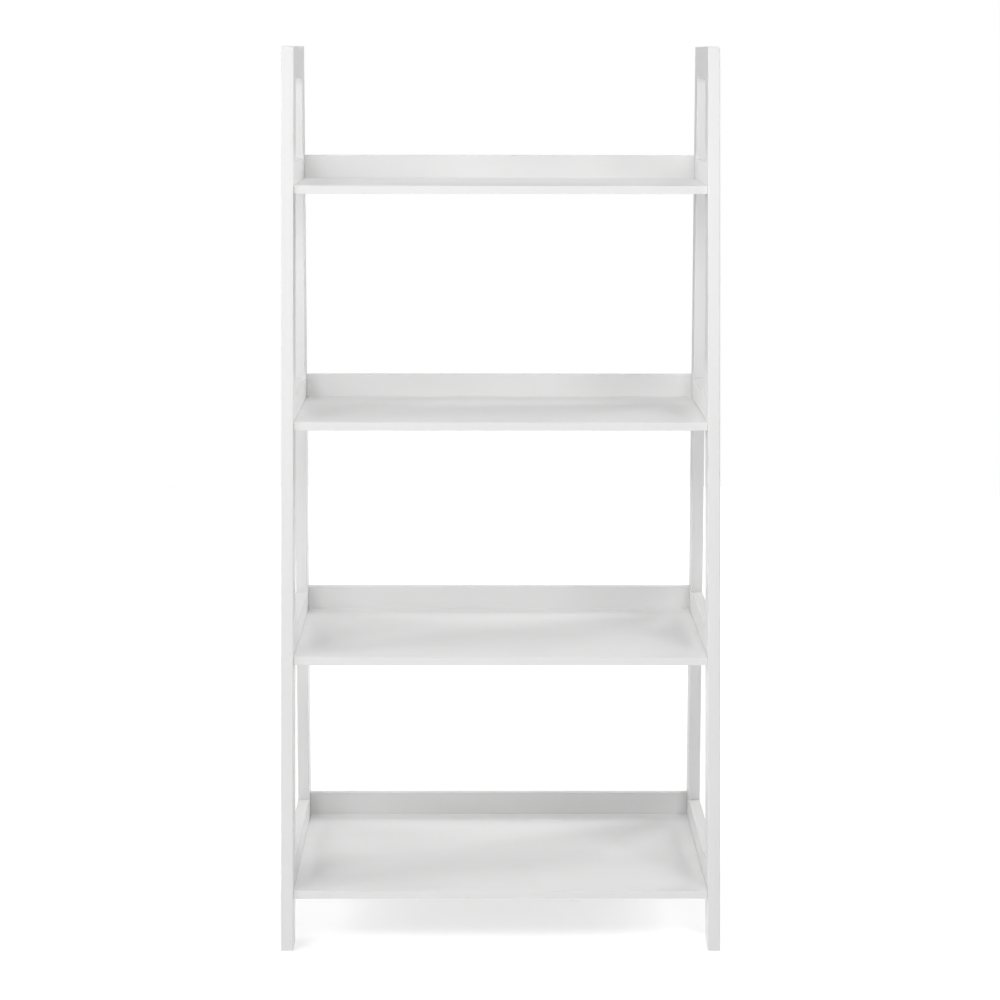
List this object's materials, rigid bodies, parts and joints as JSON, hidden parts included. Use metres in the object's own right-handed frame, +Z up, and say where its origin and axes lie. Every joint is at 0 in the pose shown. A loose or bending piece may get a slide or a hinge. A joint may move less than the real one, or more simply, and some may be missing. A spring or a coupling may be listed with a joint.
{
  "type": "ladder shelf",
  "caption": "Free-standing open ladder shelf: leaning front legs, upright rear legs, side rails, and boards with a raised back rail that get deeper towards the floor.",
  "frame": {"origin": "on the floor, at the middle of the rectangle that the four feet span", "axes": "+X to the right seen from the front, +Y to the back (the front faces -Y), +Z up"},
  "size_m": [0.64, 0.456, 1.302],
  "materials": {
    "frame_paint": "solid wood with white satin paint",
    "shelf_paint": "board with white satin paint",
    "dowel_wood": "bare beech",
    "zinc_steel": "zinc plated",
    "cam_metal": "dull die-cast zinc",
    "white_plastic": "moulded, semi-matte"
  },
  "bodies": {
    "root": {"left_front_leg": "frame_paint", "left_rear_leg": "frame_paint", "left_top_rail": "frame_paint", "left_side_rail_1": "frame_paint", "left_side_rail_2": "frame_paint", "left_side_rail_3": "frame_paint", "left_side_rail_4": "frame_paint", "right_front_leg": "frame_paint", "right_rear_leg": "frame_paint", "right_top_rail": "frame_paint", "right_side_rail_1": "frame_paint", "right_side_rail_2": "frame_paint", "right_side_rail_3": "frame_paint", "right_side_rail_4": "frame_paint", "shelf_board_1": "shelf_paint", "back_rail_1": "shelf_paint", "shelf_board_2": "shelf_paint", "back_rail_2": "shelf_paint", "shelf_board_3": "shelf_paint", "back_rail_3": "shelf_paint", "shelf_board_4": "shelf_paint", "back_rail_4": "shelf_paint", "left_front_dowels": "dowel_wood", "left_rear_dowels": "dowel_wood", "left_end_screws": "zinc_steel", "left_connector_studs": "zinc_steel", "left_connector_cams": "cam_metal", "left_cover_plugs": "white_plastic", "right_front_dowels": "dowel_wood", "right_rear_dowels": "dowel_wood", "right_end_screws": "zinc_steel", "right_connector_studs": "zinc_steel", "right_connector_cams": "cam_metal", "right_cover_plugs": "white_plastic", "board_edge_screws": "zinc_steel"}
  },
  "joints": []
}
